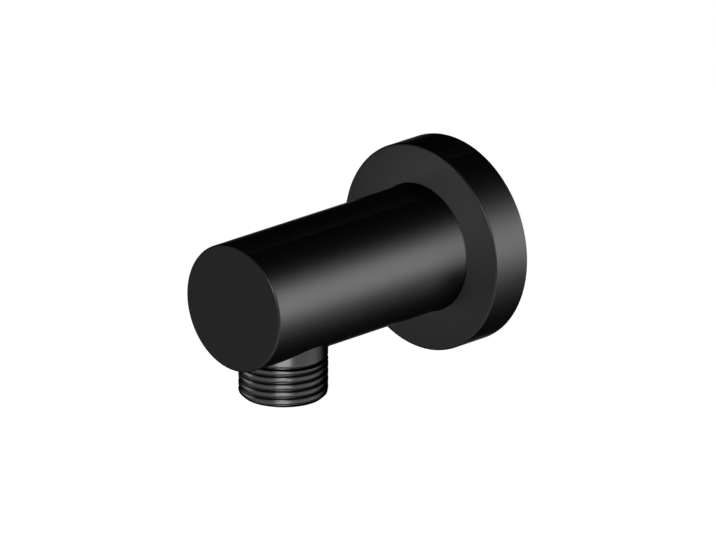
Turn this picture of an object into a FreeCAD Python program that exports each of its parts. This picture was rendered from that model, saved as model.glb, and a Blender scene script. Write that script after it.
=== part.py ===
# Round wall outlet elbow for a shower hose, in millimetres.
# A turned brass body stands out from the wall on a screwed-in connector, a round cover rosette
# hides the wall fitting, and a threaded nipple under the body's front end takes the hose. The nipple
# holds a spring-loaded non-return valve.
# Frame: the origin is the centre of the rosette's back rim, in the finished wall's plane. +Y points
# into the wall, +Z is up, and the body reaches out along -Y. "Out" sizes are measured from the wall
# plane along -Y, and "down" sizes from the body's axis along -Z.
import FreeCAD
import Part
import Sketcher

import math
import os
from types import SimpleNamespace

SHEET = "Sizes"

SIZES = {
    # outlet body: one turned and bored bar with a closed front end
    "body_dia": 30.5,
    "projection": 72.3,
    "body_gap_to_wall": 1.5,
    "front_edge_radius": 0.4,
    "body_lead_in": 0.8,
    "socket_dia": 22.0,
    "socket_depth": 26.5,
    "socket_lead_in": 0.8,
    "channel_dia": 13.0,
    "channel_past_outlet": 4.0,
    "drill_point_angle": 118.0,
    # outlet nipple, and the stepped port under the body that takes it
    "outlet_from_front": 16.6,
    "nipple_seat_down": 9.5,
    "neck_length": 5.7,
    "neck_step": 0.16,
    "neck_play": 0.1,
    "hose_relief_width": 0.6,
    "hose_relief_depth": 1.18,
    "hose_thread_dia": 20.955,
    "hose_thread_length": 9.25,
    "hose_thread_chamfer": 1.0,
    "nipple_shoulder": 1.32,
    "spigot_reach": 6.0,
    "spigot_chamfer": 0.5,
    "port_thread_play": 0.05,
    "port_run_out": 0.5,
    "nipple_ring_groove_depth": 1.3,
    "nipple_key": 10.0,
    "nipple_wall": 1.5,
    "valve_shoulder": 1.5,
    "valve_bore_lead_in": 0.4,
    # connector that screws into the wall and carries the body
    "socket_play": 0.05,
    "connector_floor_gap": 2.0,
    "connector_nose_chamfer": 1.0,
    "connector_bore_dia": 11.5,
    "connector_key_step": 0.5,
    "connector_key_depth": 12.0,
    "front_ring_from_nose": 7.0,
    "ring_spacing": 6.5,
    "connector_ring_groove_depth": 1.8,
    "lock_groove_depth": 1.0,
    "connector_shoulder_out": 0.5,
    "wall_relief_width": 1.5,
    "wall_relief_depth": 1.4,
    "wall_thread_dia": 20.955,
    "wall_thread_length": 12.9,
    "wall_thread_chamfer": 1.2,
    # both half-inch pipe threads, as ring grooves with the thread's pitch and flanks
    "thread_pitch": 1.8143,
    "thread_depth": 1.1,
    "thread_crest": 0.5,
    "thread_flank_angle": 27.5,
    # locking screw under the rosette
    "screw_out": 4.8,
    "screw_dia": 4.0,
    "screw_play": 0.02,
    "screw_sink": 0.25,
    "screw_tip_gap": 0.05,
    "screw_key": 2.0,
    "screw_key_floor": 2.8,
    # cover rosette
    "rosette_dia": 50.0,
    "rosette_depth": 10.7,
    "rosette_plate": 3.6,
    "rosette_rim": 3.4,
    "rosette_play": 0.1,
    "rosette_edge_radius": 0.4,
    "rosette_bore_chamfer": 0.2,
    "rosette_back_chamfer": 0.3,
    "rosette_ring_groove_depth": 1.6,
    "wall_seal_section": 1.6,
    "wall_seal_play": 0.05,
    # non-return valve cartridge in the nipple
    "cartridge_sink": 1.0,
    "cartridge_play": 0.1,
    "seat_length": 4.0,
    "seat_cone_start": 2.0,
    "seat_cone_width": 1.7,
    "seat_rim_wall": 0.7,
    "seat_spigot_length": 1.2,
    "seat_spigot_play": 0.05,
    "valve_ring_groove_start": 1.0,
    "valve_ring_groove_depth": 1.1,
    "cage_rebate_wall": 0.8,
    "cage_wall": 1.2,
    "cage_lip": 0.6,
    "cage_floor": 1.6,
    "cage_arm_width": 1.2,
    "cage_arm_height": 2.7,
    "cage_hub_wall": 1.0,
    # valve poppet, its seal ring and its spring
    "poppet_travel": 2.5,
    "poppet_stop_gap": 0.05,
    "poppet_ring_past_bore": 0.25,
    "poppet_ring_section": 1.3,
    "poppet_ring_side_play": 0.1,
    "poppet_seat_gap": 0.08,
    "poppet_lip_height": 0.3,
    "poppet_lip_play": 0.1,
    "poppet_nose_height": 1.0,
    "poppet_nose_dia": 3.0,
    "poppet_flange_play": 0.7,
    "poppet_flange_height": 1.2,
    "poppet_stem_dia": 2.2,
    "poppet_stem_length": 5.8,
    "stem_play": 0.1,
    "spring_wire": 0.4,
    "spring_turns": 4.5,
    "spring_side_play": 0.55,
    "spring_end_gap": 0.03,
    # seal rings: the gap round each one, which squeezing closes, and the room beside it
    "ring_gap": 0.02,
    "ring_side_play": 0.25,
}


class Length:
    """A number together with the spreadsheet formula that it comes from."""

    def __init__(self, value, text=None):
        self.value = float(value)
        self.text = text or repr(float(value))

    def join(self, sign, other, value):
        return Length(value, f"({self.text} {sign} {other.text})")

    def __add__(self, other):
        other = as_length(other)
        return self.join("+", other, self.value + other.value)

    def __sub__(self, other):
        other = as_length(other)
        return self.join("-", other, self.value - other.value)

    def __mul__(self, other):
        other = as_length(other)
        return self.join("*", other, self.value * other.value)

    def __truediv__(self, other):
        other = as_length(other)
        return self.join("/", other, self.value / other.value)

    def __radd__(self, other):
        return as_length(other) + self

    def __rsub__(self, other):
        return as_length(other) - self

    def __rmul__(self, other):
        return as_length(other) * self

    def __neg__(self):
        return 0 - self


def as_length(number):
    return number if isinstance(number, Length) else Length(number)


def bind(thing, path, length):
    """Ties a property, or a sketch constraint, to the spreadsheet."""
    thing.setExpression(path, as_length(length).text)


def make_sheet(doc):
    """Fills the spreadsheet and returns its sizes as formulas."""
    sheet = doc.addObject("Spreadsheet::Sheet", SHEET)
    sheet.Label = SHEET
    for row, (name, value) in enumerate(SIZES.items(), 1):
        sheet.set(f"A{row}", name.replace("_", " "))
        sheet.set(f"B{row}", str(value))
        sheet.setAlias(f"B{row}", name)
    doc.recompute()
    return SimpleNamespace(
        **{name: Length(sheet.get(name), f"{SHEET}.{name}") for name in SIZES}
    )


def new_body(doc, label):
    body = doc.addObject("PartDesign::Body", label)
    body.Label = label
    return body


def origin_feature(body, role):
    return next(f for f in body.Origin.OriginFeatures if f.Role == role)


def new_sketch(body, role, name, offset=None):
    """A sketch on one of the body's origin planes, lifted along the plane's normal."""
    sketch = body.newObject("Sketcher::SketchObject", name)
    sketch.AttachmentSupport = [(origin_feature(body, role), "")]
    sketch.MapMode = "FlatFace"
    if offset is not None:
        bind(sketch, "AttachmentOffset.Base.z", offset)
    return sketch


def hold_point(sketch, line, across, up, end=1):
    """Fixes one end of a line, or a circle's centre, by its distances from the sketch's origin."""
    for kind, axis, length in (("DistanceX", -2, across), ("DistanceY", -1, up)):
        length = as_length(length)
        if length.text == "0.0":
            sketch.addConstraint(
                Sketcher.Constraint("PointOnObject", line, end, axis)
            )
            continue
        place = sketch.addConstraint(
            Sketcher.Constraint(kind, -1, 1, line, end, length.value)
        )
        bind(sketch, f"Constraints[{place}]", length)


def draw_outline(sketch, corners):
    """A closed chain of straight lines through corners given as pairs of lengths."""
    points = [
        FreeCAD.Vector(as_length(across).value, as_length(up).value, 0)
        for across, up in corners
    ]
    count = len(points)
    for i, point in enumerate(points):
        sketch.addGeometry(Part.LineSegment(point, points[(i + 1) % count]), False)
    for i, (across, up) in enumerate(corners):
        sketch.addConstraint(
            Sketcher.Constraint("Coincident", i, 2, (i + 1) % count, 1)
        )
        hold_point(sketch, i, across, up)


def draw_circle(sketch, diameter, across=0, up=0):
    """A circle held by its centre and its diameter."""
    centre = FreeCAD.Vector(as_length(across).value, as_length(up).value, 0)
    circle = Part.Circle(centre, FreeCAD.Vector(0, 0, 1), diameter.value / 2)
    ring = sketch.addGeometry(circle, False)
    hold_point(sketch, ring, across, up, 3)
    size = sketch.addConstraint(Sketcher.Constraint("Diameter", ring, diameter.value))
    bind(sketch, f"Constraints[{size}]", diameter)


def draw_hexagon(sketch, across_flats):
    """A hexagon round the sketch's origin."""
    corner = across_flats / math.sqrt(3)
    turns = [math.radians(60 * k) for k in range(6)]
    draw_outline(sketch, [(corner * math.cos(a), corner * math.sin(a)) for a in turns])


def revolve(body, name, role, corners):
    """Turns a half section, drawn as radius and height, about the plane's vertical axis."""
    sketch = new_sketch(body, role, f"{name}_section")
    draw_outline(sketch, corners)
    feature = body.newObject("PartDesign::Revolution", name)
    feature.Profile = sketch
    feature.ReferenceAxis = (sketch, ["V_Axis"])
    feature.Angle = 360
    return feature


def pad(body, name, sketch, length):
    feature = body.newObject("PartDesign::Pad", name)
    feature.Profile = sketch
    bind(feature, "Length", length)
    return feature


def pocket(doc, body, name, sketch, length, reverse=False):
    feature = body.newObject("PartDesign::Pocket", name)
    feature.Profile = sketch
    bind(feature, "Length", length)
    feature.Reversed = reverse
    cuts_or_stops(doc, feature)
    return feature


def cuts_or_stops(doc, feature):
    """A cut that points away from the solid removes nothing and shows no error, so this stops it."""
    doc.recompute()
    if feature.Shape.Volume > feature.BaseFeature.Shape.Volume - 1e-3:
        raise RuntimeError(f"{feature.Name} removes no material")


def cut_thread(doc, body, s, plane, direction, radius, start, end):
    """Turns a thread's grooves into the crest wall, counted from its free end, where start lies."""
    inwards = 1 if end.value > start.value else -1
    centre = start + inwards * (s.thread_pitch + s.thread_crest) / 2
    slope = math.tan(math.radians(s.thread_flank_angle.value))
    mouth = (s.thread_pitch - s.thread_crest) / 2
    lip = s.thread_crest / 4
    root = mouth - s.thread_depth * slope
    sketch = new_sketch(body, plane, "thread_groove_section")
    draw_outline(
        sketch,
        [
            (radius - s.thread_depth, centre - root),
            (radius + lip, centre - mouth - lip * slope),
            (radius + lip, centre + mouth + lip * slope),
            (radius - s.thread_depth, centre + root),
        ],
    )
    ring = body.newObject("PartDesign::Groove", "thread_groove")
    ring.Profile = sketch
    ring.ReferenceAxis = (sketch, ["V_Axis"])
    ring.Angle = 360
    cuts_or_stops(doc, ring)
    thread = body.newObject("PartDesign::LinearPattern", "thread")
    thread.Originals = [ring]
    thread.Direction = (origin_feature(body, direction), [""])
    thread.Reversed = inwards < 0
    thread.Mode = "Spacing"
    bind(thread, "Offset", s.thread_pitch)
    room = inwards * (end - start) - s.thread_crest
    thread.setExpression("Occurrences", f"floor({(room / s.thread_pitch).text})")
    body.Tip = thread
    doc.recompute()
    return thread


def round_front_edge(doc, body, feature, radius, out, size):
    """Rounds the circular edge of this radius, this far out from the wall plane."""
    doc.recompute()
    for number, edge in enumerate(feature.Shape.Edges, 1):
        curve = edge.Curve
        if (
            isinstance(curve, Part.Circle)
            and abs(curve.Radius - radius.value) < 1e-4
            and abs(curve.Center.y + out.value) < 1e-4
        ):
            fillet = body.newObject("PartDesign::Fillet", f"{feature.Name}_edge")
            fillet.Base = (feature, [f"Edge{number}"])
            bind(fillet, "Radius", size)
            return fillet
    raise RuntimeError(f"{feature.Name} has no such edge")


def work_out(s):
    """Places and radii that several pieces share. Places along Y are negative towards the room."""
    w = SimpleNamespace()
    w.body_radius = s.body_dia / 2
    # the body's socket and the connector's head in it
    w.body_rear = -s.body_gap_to_wall
    w.socket_radius = s.socket_dia / 2
    w.socket_floor = w.body_rear - s.socket_depth
    w.connector_radius = w.socket_radius - s.socket_play
    w.connector_front = w.socket_floor + s.connector_floor_gap
    w.connector_groove = w.connector_radius - s.connector_ring_groove_depth
    w.front_ring = w.connector_front + s.front_ring_from_nose
    w.rear_ring = w.front_ring + s.ring_spacing
    w.lock_root = w.connector_radius - s.lock_groove_depth
    # the outlet's axis, and heights and radii of the nipple on it
    w.outlet = s.outlet_from_front - s.projection
    w.thread_radius = s.hose_thread_dia / 2
    w.neck_radius = w.thread_radius - s.neck_step
    w.relief_radius = w.thread_radius - s.hose_relief_depth
    w.spigot_radius = w.neck_radius - s.nipple_shoulder
    w.port_radius = w.spigot_radius + s.port_thread_play
    w.nipple_groove = w.spigot_radius - s.nipple_ring_groove_depth
    w.nipple_seat = -s.nipple_seat_down
    w.spigot_top = w.nipple_seat + s.spigot_reach
    w.neck_end = w.nipple_seat - s.neck_length
    w.thread_top = w.neck_end - s.hose_relief_width
    w.nipple_end = w.thread_top - s.hose_thread_length
    # the rosette's bore and its ring groove
    w.rosette_radius = s.rosette_dia / 2
    w.rosette_bore = w.body_radius + s.rosette_play
    w.rosette_groove = w.rosette_bore + s.rosette_ring_groove_depth
    w.rosette_ring = s.rosette_plate / 2 - s.rosette_depth
    w.wall_seal = w.rosette_radius - s.rosette_rim / 2
    # the valve cartridge: its ends, its outside, its seat and its cage
    w.valve_bore = w.relief_radius - s.nipple_wall
    w.valve_top = w.nipple_seat - s.valve_shoulder
    w.valve_end = w.nipple_end + s.cartridge_sink
    w.cartridge_radius = w.valve_bore - s.cartridge_play
    w.cartridge_groove = w.cartridge_radius - s.valve_ring_groove_depth
    w.seat_spigot = w.cartridge_radius - s.cage_rebate_wall
    w.seat_outlet = w.seat_spigot - s.seat_rim_wall
    w.seat_bore = w.seat_outlet - s.seat_cone_width
    w.seat_cone = w.valve_top - s.seat_cone_start
    w.seat_end = w.valve_top - s.seat_length
    # the poppet closes where its ring meets the 45 degree cone
    w.poppet_ring_radius = w.seat_bore + s.poppet_ring_past_bore
    off_cone = (s.poppet_ring_section / 2 + s.poppet_seat_gap) * math.sqrt(2)
    w.poppet_ring = w.seat_cone - s.poppet_ring_past_bore - off_cone
    w.poppet_half_groove = s.poppet_ring_section / 2 + s.poppet_ring_side_play
    w.poppet_flange = w.poppet_ring - w.poppet_half_groove
    w.poppet_underside = w.poppet_flange - s.poppet_flange_height
    w.stem_radius = s.poppet_stem_dia / 2
    w.stem_hole = w.stem_radius + s.stem_play
    w.hub_radius = w.stem_hole + s.cage_hub_wall
    w.hub_top = w.poppet_underside - s.poppet_travel - s.poppet_stop_gap
    return w


def ring_places(s, w):
    """Each seal ring's inner and outer wall, and its place along its axis."""

    def upright(inner, outer, up):
        return SimpleNamespace(inner=inner, outer=outer, up=up, upright=True)

    def facing_wall(inner, outer, up):
        return SimpleNamespace(inner=inner, outer=outer, up=up, upright=False)

    half_seal = s.wall_seal_section / 2
    half_poppet = s.poppet_ring_section / 2 + s.ring_gap
    rings = {
        "rosette_o_ring": facing_wall(w.body_radius, w.rosette_groove, w.rosette_ring),
        "wall_seal": facing_wall(
            w.wall_seal - half_seal, w.wall_seal + half_seal, -half_seal
        ),
        "connector_o_ring_front": facing_wall(
            w.connector_groove, w.socket_radius, w.front_ring
        ),
        "connector_o_ring_rear": facing_wall(
            w.connector_groove, w.socket_radius, w.rear_ring
        ),
        "nipple_o_ring": upright(w.nipple_groove, w.port_radius, w.nipple_seat),
        "valve_o_ring": upright(
            w.cartridge_groove, w.valve_bore, w.valve_top - s.valve_ring_groove_start
        ),
        "poppet_o_ring": upright(
            w.poppet_ring_radius - half_poppet,
            w.poppet_ring_radius + half_poppet,
            w.poppet_ring,
        ),
    }
    for ring in rings.values():
        ring.section = ring.outer - ring.inner - 2 * s.ring_gap
        ring.half_groove = ring.section / 2 + s.ring_side_play
    # these two are placed by the end of their groove that a shoulder sets
    rings["nipple_o_ring"].up += rings["nipple_o_ring"].half_groove
    rings["valve_o_ring"].up -= rings["valve_o_ring"].half_groove
    return rings


def make_outlet_body(doc, s, w, rings):
    """Bored bar: a socket at the rear, a blind channel, and the stepped outlet port below."""
    body = new_body(doc, "outlet_body")
    channel = s.channel_dia / 2
    blind_end = w.outlet - s.channel_past_outlet
    slope = math.tan(math.radians(90 - s.drill_point_angle.value / 2))
    bar = revolve(
        body,
        "bar",
        "XY_Plane",
        [
            (0, -s.projection),
            (w.body_radius, -s.projection),
            (w.body_radius, w.body_rear - s.body_lead_in),
            (w.body_radius - s.body_lead_in / 2, w.body_rear),
            (w.socket_radius + s.socket_lead_in / 2, w.body_rear),
            (w.socket_radius, w.body_rear - s.socket_lead_in),
            (w.socket_radius, w.socket_floor),
            (channel, w.socket_floor),
            (channel, blind_end),
            (0, blind_end - channel * slope),
        ],
    )
    round_front_edge(
        doc, body, bar, w.body_radius, s.projection, s.front_edge_radius
    )
    # the port is turned out of the body about the outlet's own axis
    recess = w.neck_radius + s.neck_play
    thread_end = w.spigot_top + s.port_run_out
    below = -s.body_dia
    sketch = new_sketch(body, "YZ_Plane", "port_section")
    draw_outline(
        sketch,
        [
            (w.outlet, thread_end),
            (w.outlet + w.port_radius, thread_end),
            (w.outlet + w.port_radius, w.nipple_seat),
            (w.outlet + recess, w.nipple_seat),
            (w.outlet + recess, below),
            (w.outlet, below),
        ],
    )
    low = FreeCAD.Vector(w.outlet.value, below.value, 0)
    high = FreeCAD.Vector(w.outlet.value, thread_end.value, 0)
    axis = sketch.addGeometry(Part.LineSegment(low, high), True)
    hold_point(sketch, axis, w.outlet, below)
    hold_point(sketch, axis, w.outlet, thread_end, 2)
    port = body.newObject("PartDesign::Groove", "port")
    port.Profile = sketch
    port.ReferenceAxis = (sketch, ["Axis0"])
    port.Angle = 360
    cuts_or_stops(doc, port)
    tapping = new_sketch(body, "XY_Plane", "screw_hole_circle")
    draw_circle(tapping, s.screw_dia + 2 * s.screw_play, 0, -s.screw_out)
    pocket(doc, body, "screw_hole", tapping, s.body_dia)
    return body


def make_cover_rosette(doc, s, w, rings):
    """Round cap with a thick front plate: a ring groove in its bore and a seal groove in its rim."""
    body = new_body(doc, "cover_rosette")
    front = -s.rosette_depth
    plate_back = front + s.rosette_plate
    hollow = w.rosette_radius - s.rosette_rim
    half_ring = rings["rosette_o_ring"].half_groove
    half_seal = s.wall_seal_section / 2 + s.wall_seal_play
    cap = revolve(
        body,
        "cap",
        "XY_Plane",
        [
            (w.rosette_bore + s.rosette_bore_chamfer, front),
            (w.rosette_radius, front),
            (w.rosette_radius, -s.rosette_back_chamfer),
            (w.rosette_radius - s.rosette_back_chamfer, 0),
            (w.wall_seal + half_seal, 0),
            (w.wall_seal + half_seal, -s.wall_seal_section),
            (w.wall_seal - half_seal, -s.wall_seal_section),
            (w.wall_seal - half_seal, 0),
            (hollow, 0),
            (hollow, plate_back),
            (w.rosette_bore + s.rosette_bore_chamfer, plate_back),
            (w.rosette_bore, plate_back - s.rosette_bore_chamfer),
            (w.rosette_bore, w.rosette_ring + half_ring),
            (w.rosette_groove, w.rosette_ring + half_ring),
            (w.rosette_groove, w.rosette_ring - half_ring),
            (w.rosette_bore, w.rosette_ring - half_ring),
            (w.rosette_bore, front + s.rosette_bore_chamfer),
        ],
    )
    round_front_edge(
        doc, body, cap, w.rosette_radius, s.rosette_depth, s.rosette_edge_radius
    )
    return body


def make_wall_connector(doc, s, w, rings):
    """Screwed wall nipple: its head plugs into the body and holds two seal rings."""
    body = new_body(doc, "wall_connector")
    head = w.connector_radius
    bore = s.connector_bore_dia / 2
    shoulder = -s.connector_shoulder_out
    thread = s.wall_thread_dia / 2
    relief = thread - s.wall_relief_depth
    thread_start = shoulder + s.wall_relief_width
    thread_end = thread_start + s.wall_thread_length
    corners = [
        (bore, w.connector_front),
        (head - s.connector_nose_chamfer, w.connector_front),
        (head, w.connector_front + s.connector_nose_chamfer),
    ]
    for name in ("connector_o_ring_front", "connector_o_ring_rear"):
        ring = rings[name]
        corners += [
            (head, ring.up - ring.half_groove),
            (w.connector_groove, ring.up - ring.half_groove),
            (w.connector_groove, ring.up + ring.half_groove),
            (head, ring.up + ring.half_groove),
        ]
    corners += [
        (head, -s.screw_out - s.lock_groove_depth),
        (w.lock_root, -s.screw_out),
        (head, -s.screw_out + s.lock_groove_depth),
        (head, shoulder),
        (relief, shoulder),
        (relief, thread_start),
        (thread, thread_start),
        (thread, thread_end - s.wall_thread_chamfer),
        (thread - s.wall_thread_chamfer, thread_end),
        (bore, thread_end),
    ]
    revolve(body, "turned", "XY_Plane", corners)
    crest_end = thread_end - s.wall_thread_chamfer
    cut_thread(doc, body, s, "XY_Plane", "Y_Axis", thread, crest_end, thread_start)
    # this plane's normal points out from the wall, so the pocket cuts back towards the wall
    sketch = new_sketch(body, "XZ_Plane", "key_hexagon", -w.connector_front)
    draw_hexagon(sketch, s.connector_bore_dia + s.connector_key_step)
    pocket(doc, body, "key_socket", sketch, s.connector_key_depth)
    return body


def make_locking_screw(doc, s, w, rings):
    """Socket set screw whose cone sits in the connector's groove."""
    body = new_body(doc, "locking_screw")
    bind(body, "Placement.Base.y", -s.screw_out)
    radius = s.screw_dia / 2
    tip = -(w.lock_root + s.screw_tip_gap)
    head = -(w.body_radius - s.screw_sink)
    revolve(
        body,
        "shank",
        "XZ_Plane",
        [(0, tip), (radius, tip - radius), (radius, head), (0, head)],
    )
    sketch = new_sketch(body, "XY_Plane", "key_hexagon", head)
    draw_hexagon(sketch, s.screw_key)
    pocket(doc, body, "key_socket", sketch, tip - head - s.screw_key_floor, True)
    return body


def make_outlet_nipple(doc, s, w, rings):
    """Turned nipple: spigot with a ring groove, plain neck, hose thread and valve bore."""
    body = new_body(doc, "outlet_nipple")
    bind(body, "Placement.Base.y", w.outlet)
    groove_top = w.nipple_seat + 2 * rings["nipple_o_ring"].half_groove
    revolve(
        body,
        "turned",
        "XZ_Plane",
        [
            (0, w.spigot_top),
            (w.spigot_radius - s.spigot_chamfer, w.spigot_top),
            (w.spigot_radius, w.spigot_top - s.spigot_chamfer),
            (w.spigot_radius, groove_top),
            (w.nipple_groove, groove_top),
            (w.nipple_groove, w.nipple_seat),
            (w.neck_radius, w.nipple_seat),
            (w.neck_radius, w.neck_end),
            (w.relief_radius, w.neck_end),
            (w.relief_radius, w.thread_top),
            (w.thread_radius, w.thread_top),
            (w.thread_radius, w.nipple_end + s.hose_thread_chamfer),
            (w.thread_radius - s.hose_thread_chamfer, w.nipple_end),
            (w.valve_bore + s.valve_bore_lead_in, w.nipple_end),
            (w.valve_bore, w.nipple_end + s.valve_bore_lead_in),
            (w.valve_bore, w.valve_top),
            (0, w.valve_top),
        ],
    )
    crest_end = w.nipple_end + s.hose_thread_chamfer
    cut_thread(doc, body, s, "XZ_Plane", "Z_Axis", w.thread_radius, crest_end, w.thread_top)
    sketch = new_sketch(body, "XY_Plane", "key_hexagon", w.spigot_top)
    draw_hexagon(sketch, s.nipple_key)
    pocket(doc, body, "key_socket", sketch, w.spigot_top - w.valve_top)
    return body


def make_valve_seat(doc, s, w, rings):
    """Upper half of the cartridge: inlet bore, conical seat and the groove of its seal ring."""
    body = new_body(doc, "valve_seat")
    bind(body, "Placement.Base.y", w.outlet)
    groove_top = w.valve_top - s.valve_ring_groove_start
    groove_end = groove_top - 2 * rings["valve_o_ring"].half_groove
    spigot_end = w.seat_end - s.seat_spigot_length
    revolve(
        body,
        "turned",
        "XZ_Plane",
        [
            (w.seat_bore, w.valve_top),
            (w.cartridge_radius, w.valve_top),
            (w.cartridge_radius, groove_top),
            (w.cartridge_groove, groove_top),
            (w.cartridge_groove, groove_end),
            (w.cartridge_radius, groove_end),
            (w.cartridge_radius, w.seat_end),
            (w.seat_spigot, w.seat_end),
            (w.seat_spigot, spigot_end),
            (w.seat_outlet, spigot_end),
            (w.seat_outlet, w.seat_cone - s.seat_cone_width),
            (w.seat_bore, w.seat_cone),
        ],
    )
    return body


def make_valve_cage(doc, s, w, rings):
    """Lower half of the cartridge: three arms carry the hub that guides the poppet's stem."""
    body = new_body(doc, "valve_cage")
    bind(body, "Placement.Base.y", w.outlet)
    bore = w.cartridge_radius - s.cage_wall
    mouth = bore - s.cage_lip
    rebate = w.seat_spigot + s.seat_spigot_play
    rebate_end = w.seat_end - s.seat_spigot_length - s.seat_spigot_play
    revolve(
        body,
        "shell",
        "XZ_Plane",
        [
            (rebate, w.seat_end),
            (w.cartridge_radius, w.seat_end),
            (w.cartridge_radius, w.valve_end),
            (mouth, w.valve_end),
            (mouth, w.valve_end + s.cage_floor),
            (bore, w.valve_end + s.cage_floor),
            (bore, rebate_end),
            (rebate, rebate_end),
        ],
    )
    half = s.cage_arm_width / 2
    reach = bore + s.cage_wall / 2
    sketch = new_sketch(body, "XY_Plane", "arm_outline", w.valve_end)
    draw_outline(sketch, [(-half, 0), (half, 0), (half, reach), (-half, reach)])
    arm = pad(body, "arm", sketch, s.cage_arm_height)
    doc.recompute()
    arms = body.newObject("PartDesign::PolarPattern", "arms")
    arms.Originals = [arm]
    arms.Axis = (origin_feature(body, "Z_Axis"), [""])
    arms.Angle = 360
    arms.Occurrences = 3
    body.Tip = arms
    hub_height = w.hub_top - w.valve_end
    sketch = new_sketch(body, "XY_Plane", "hub_circle", w.valve_end)
    draw_circle(sketch, 2 * w.hub_radius)
    pad(body, "hub", sketch, hub_height)
    sketch = new_sketch(body, "XY_Plane", "stem_hole_circle", w.valve_end)
    draw_circle(sketch, 2 * w.stem_hole)
    pocket(doc, body, "stem_hole", sketch, hub_height, True)
    return body


def make_valve_poppet(doc, s, w, rings):
    """Mushroom-shaped poppet with a groove for its seal ring and a guided stem."""
    body = new_body(doc, "valve_poppet")
    bind(body, "Placement.Base.y", w.outlet)
    root = rings["poppet_o_ring"].inner
    lip = w.seat_bore - s.poppet_lip_play
    groove_top = w.poppet_ring + w.poppet_half_groove
    lip_top = groove_top + s.poppet_lip_height
    nose_top = lip_top + s.poppet_nose_height
    flange = w.seat_outlet - s.poppet_flange_play
    stem_end = w.poppet_underside - s.poppet_stem_length
    revolve(
        body,
        "mushroom",
        "XZ_Plane",
        [
            (0, nose_top),
            (s.poppet_nose_dia / 2, nose_top),
            (lip, lip_top),
            (lip, groove_top),
            (root, groove_top),
            (root, w.poppet_flange),
            (flange, w.poppet_flange),
            (flange, w.poppet_underside),
            (w.stem_radius, w.poppet_underside),
            (w.stem_radius, stem_end),
            (0, stem_end),
        ],
    )
    return body


def make_valve_spring(doc, s, w, rings):
    """Round-wire compression spring between the cage's arms and the poppet's flange."""
    body = new_body(doc, "valve_spring")
    bind(body, "Placement.Base.y", w.outlet)
    inset = s.spring_wire / 2 + s.spring_end_gap
    low = w.valve_end + s.cage_arm_height + inset
    high = w.poppet_underside - inset
    sketch = new_sketch(body, "XZ_Plane", "wire_section")
    radius = w.hub_radius + s.spring_side_play + s.spring_wire / 2
    draw_circle(sketch, s.spring_wire, radius, low)
    coil = body.newObject("PartDesign::AdditiveHelix", "coil")
    coil.Profile = sketch
    coil.ReferenceAxis = (sketch, ["V_Axis"])
    coil.Mode = "height-turns-angle"
    bind(coil, "Height", high - low)
    bind(coil, "Turns", s.spring_turns)
    return body


def make_seal_ring(doc, s, w, label, ring):
    """A ring in the room between two walls, less the gap that squeezing closes."""
    torus = doc.addObject("Part::Torus", label)
    torus.Label = label
    bind(torus, "Radius1", (ring.inner + ring.outer) / 2)
    bind(torus, "Radius2", ring.section / 2)
    if ring.upright:
        bind(torus, "Placement.Base.y", w.outlet)
        bind(torus, "Placement.Base.z", ring.up)
    else:
        torus.Placement.Rotation = FreeCAD.Rotation(FreeCAD.Vector(1, 0, 0), 90)
        bind(torus, "Placement.Base.y", ring.up)
    return torus


def check_document(doc, pieces):
    """Stops before anything is written if an object failed or a piece isn't sound."""
    doc.recompute()
    for thing in doc.Objects:
        if "Invalid" in thing.State or "Error" in thing.State:
            raise RuntimeError(f"{thing.Label} failed: {thing.State}")
    for piece in pieces:
        shape = piece.Shape
        if shape.isNull() or not shape.isValid() or not shape.Solids:
            raise RuntimeError(f"{piece.Label} has no valid solid")


def write_pieces(pieces):
    os.makedirs("parts", exist_ok=True)
    for piece in pieces:
        piece.Shape.exportStep(f"parts/{piece.Label}.step")
        print(f"{piece.Label}: {piece.Shape.Volume:.1f} mm3")


def main():
    doc = FreeCAD.newDocument("wall_outlet_elbow")
    s = make_sheet(doc)
    w = work_out(s)
    rings = ring_places(s, w)
    makers = (
        make_outlet_body,
        make_cover_rosette,
        make_wall_connector,
        make_locking_screw,
        make_outlet_nipple,
        make_valve_seat,
        make_valve_cage,
        make_valve_poppet,
        make_valve_spring,
    )
    pieces = [make(doc, s, w, rings) for make in makers]
    pieces += [make_seal_ring(doc, s, w, label, ring) for label, ring in rings.items()]
    check_document(doc, pieces)
    write_pieces(pieces)


main()
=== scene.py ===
# Looks of a round wall outlet elbow for a shower hose, in matt black.
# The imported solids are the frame. The pieces that show are modelled again on them with their
# small radii and true threads, and the other solids keep their shape and get a finish.
import math

import bpy
from mathutils import Matrix, Vector


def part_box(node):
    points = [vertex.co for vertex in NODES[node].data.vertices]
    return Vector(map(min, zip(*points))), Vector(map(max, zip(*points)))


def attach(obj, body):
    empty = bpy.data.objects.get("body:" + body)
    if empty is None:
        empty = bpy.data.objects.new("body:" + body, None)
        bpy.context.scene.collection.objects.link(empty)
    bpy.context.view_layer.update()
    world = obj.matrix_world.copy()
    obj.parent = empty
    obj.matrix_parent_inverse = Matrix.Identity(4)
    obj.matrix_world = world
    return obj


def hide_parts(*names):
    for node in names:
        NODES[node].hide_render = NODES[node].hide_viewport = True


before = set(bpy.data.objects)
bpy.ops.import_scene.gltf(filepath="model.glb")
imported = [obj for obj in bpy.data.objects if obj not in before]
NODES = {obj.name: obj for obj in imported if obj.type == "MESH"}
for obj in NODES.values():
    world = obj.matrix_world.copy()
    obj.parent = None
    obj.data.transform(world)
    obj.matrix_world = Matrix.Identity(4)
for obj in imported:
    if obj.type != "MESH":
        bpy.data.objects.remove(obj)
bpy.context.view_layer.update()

bl_info = {
    "name": "Wall Outlet Elbow",
    "version": (1, 0, 0),
    "blender": (4, 5, 0),
    "location": "3D View > Sidebar > Wall Outlet",
    "description": "Models the pieces, finishes and studio of a round wall outlet elbow",
    "category": "Object",
}

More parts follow.
